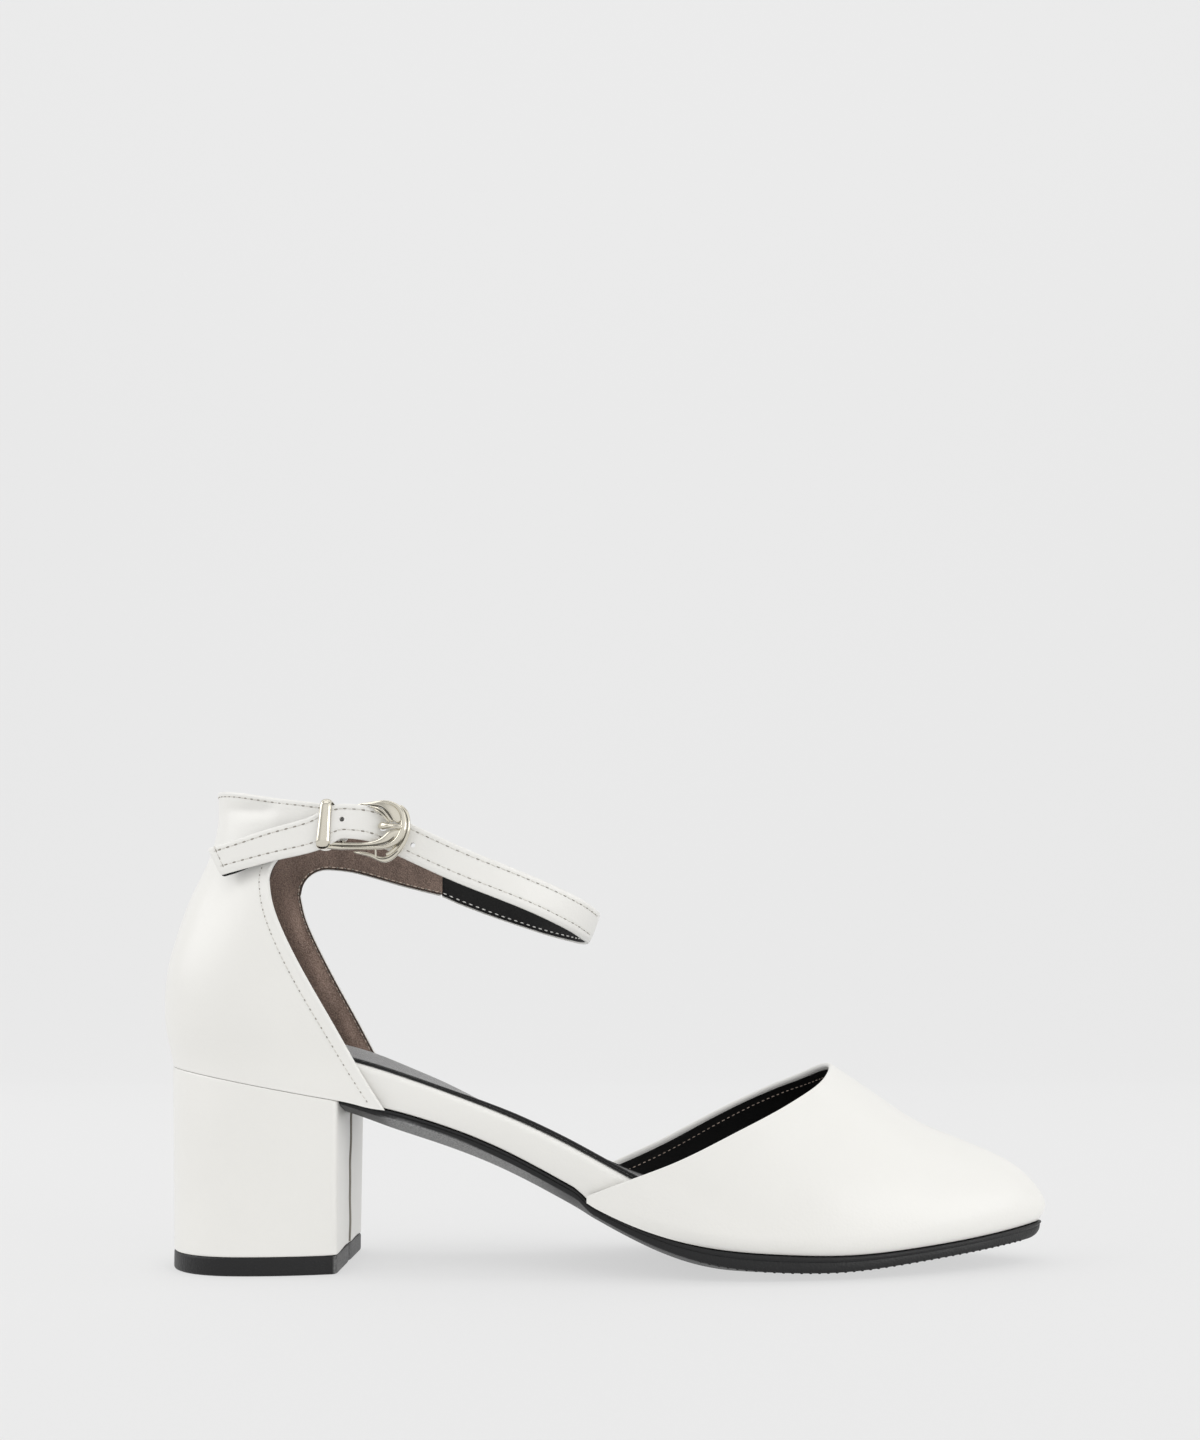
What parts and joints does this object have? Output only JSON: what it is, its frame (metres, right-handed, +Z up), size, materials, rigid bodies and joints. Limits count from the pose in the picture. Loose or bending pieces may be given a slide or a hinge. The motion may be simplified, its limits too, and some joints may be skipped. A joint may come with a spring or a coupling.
{
  "type": "ankle strap block heel pump",
  "caption": "Pointed women's pump with cut-away sides, a wrapped block heel and a buckled ankle strap; a single right shoe that stands empty on its sole.",
  "frame": {"origin": "middle of the shoe's box on the floor it stands on", "axes": "+X from heel to toe, +Y to the inner side of the foot, +Z up"},
  "size_m": [0.2528, 0.077, 0.1342],
  "materials": {
    "upper_leather": "smooth off-white, softly glossy",
    "sole_rubber": "satin black",
    "black_lining": "fine matte black",
    "brown_lining": "taupe napped lining",
    "stitching": "grey beige thread",
    "buckle_metal": "polished pale nickel"
  },
  "bodies": {
    "root": {"outsole": "sole_rubber", "heel_block": "upper_leather", "heel_top_lift": "sole_rubber", "footbed": "upper_leather", "insole_sock": "black_lining", "vamp": "upper_leather", "heel_counter": "upper_leather", "ankle_strap": "upper_leather", "buckle_frame": "buckle_metal", "buckle_prong": "buckle_metal", "strap_keeper": "buckle_metal"}
  },
  "joints": []
}
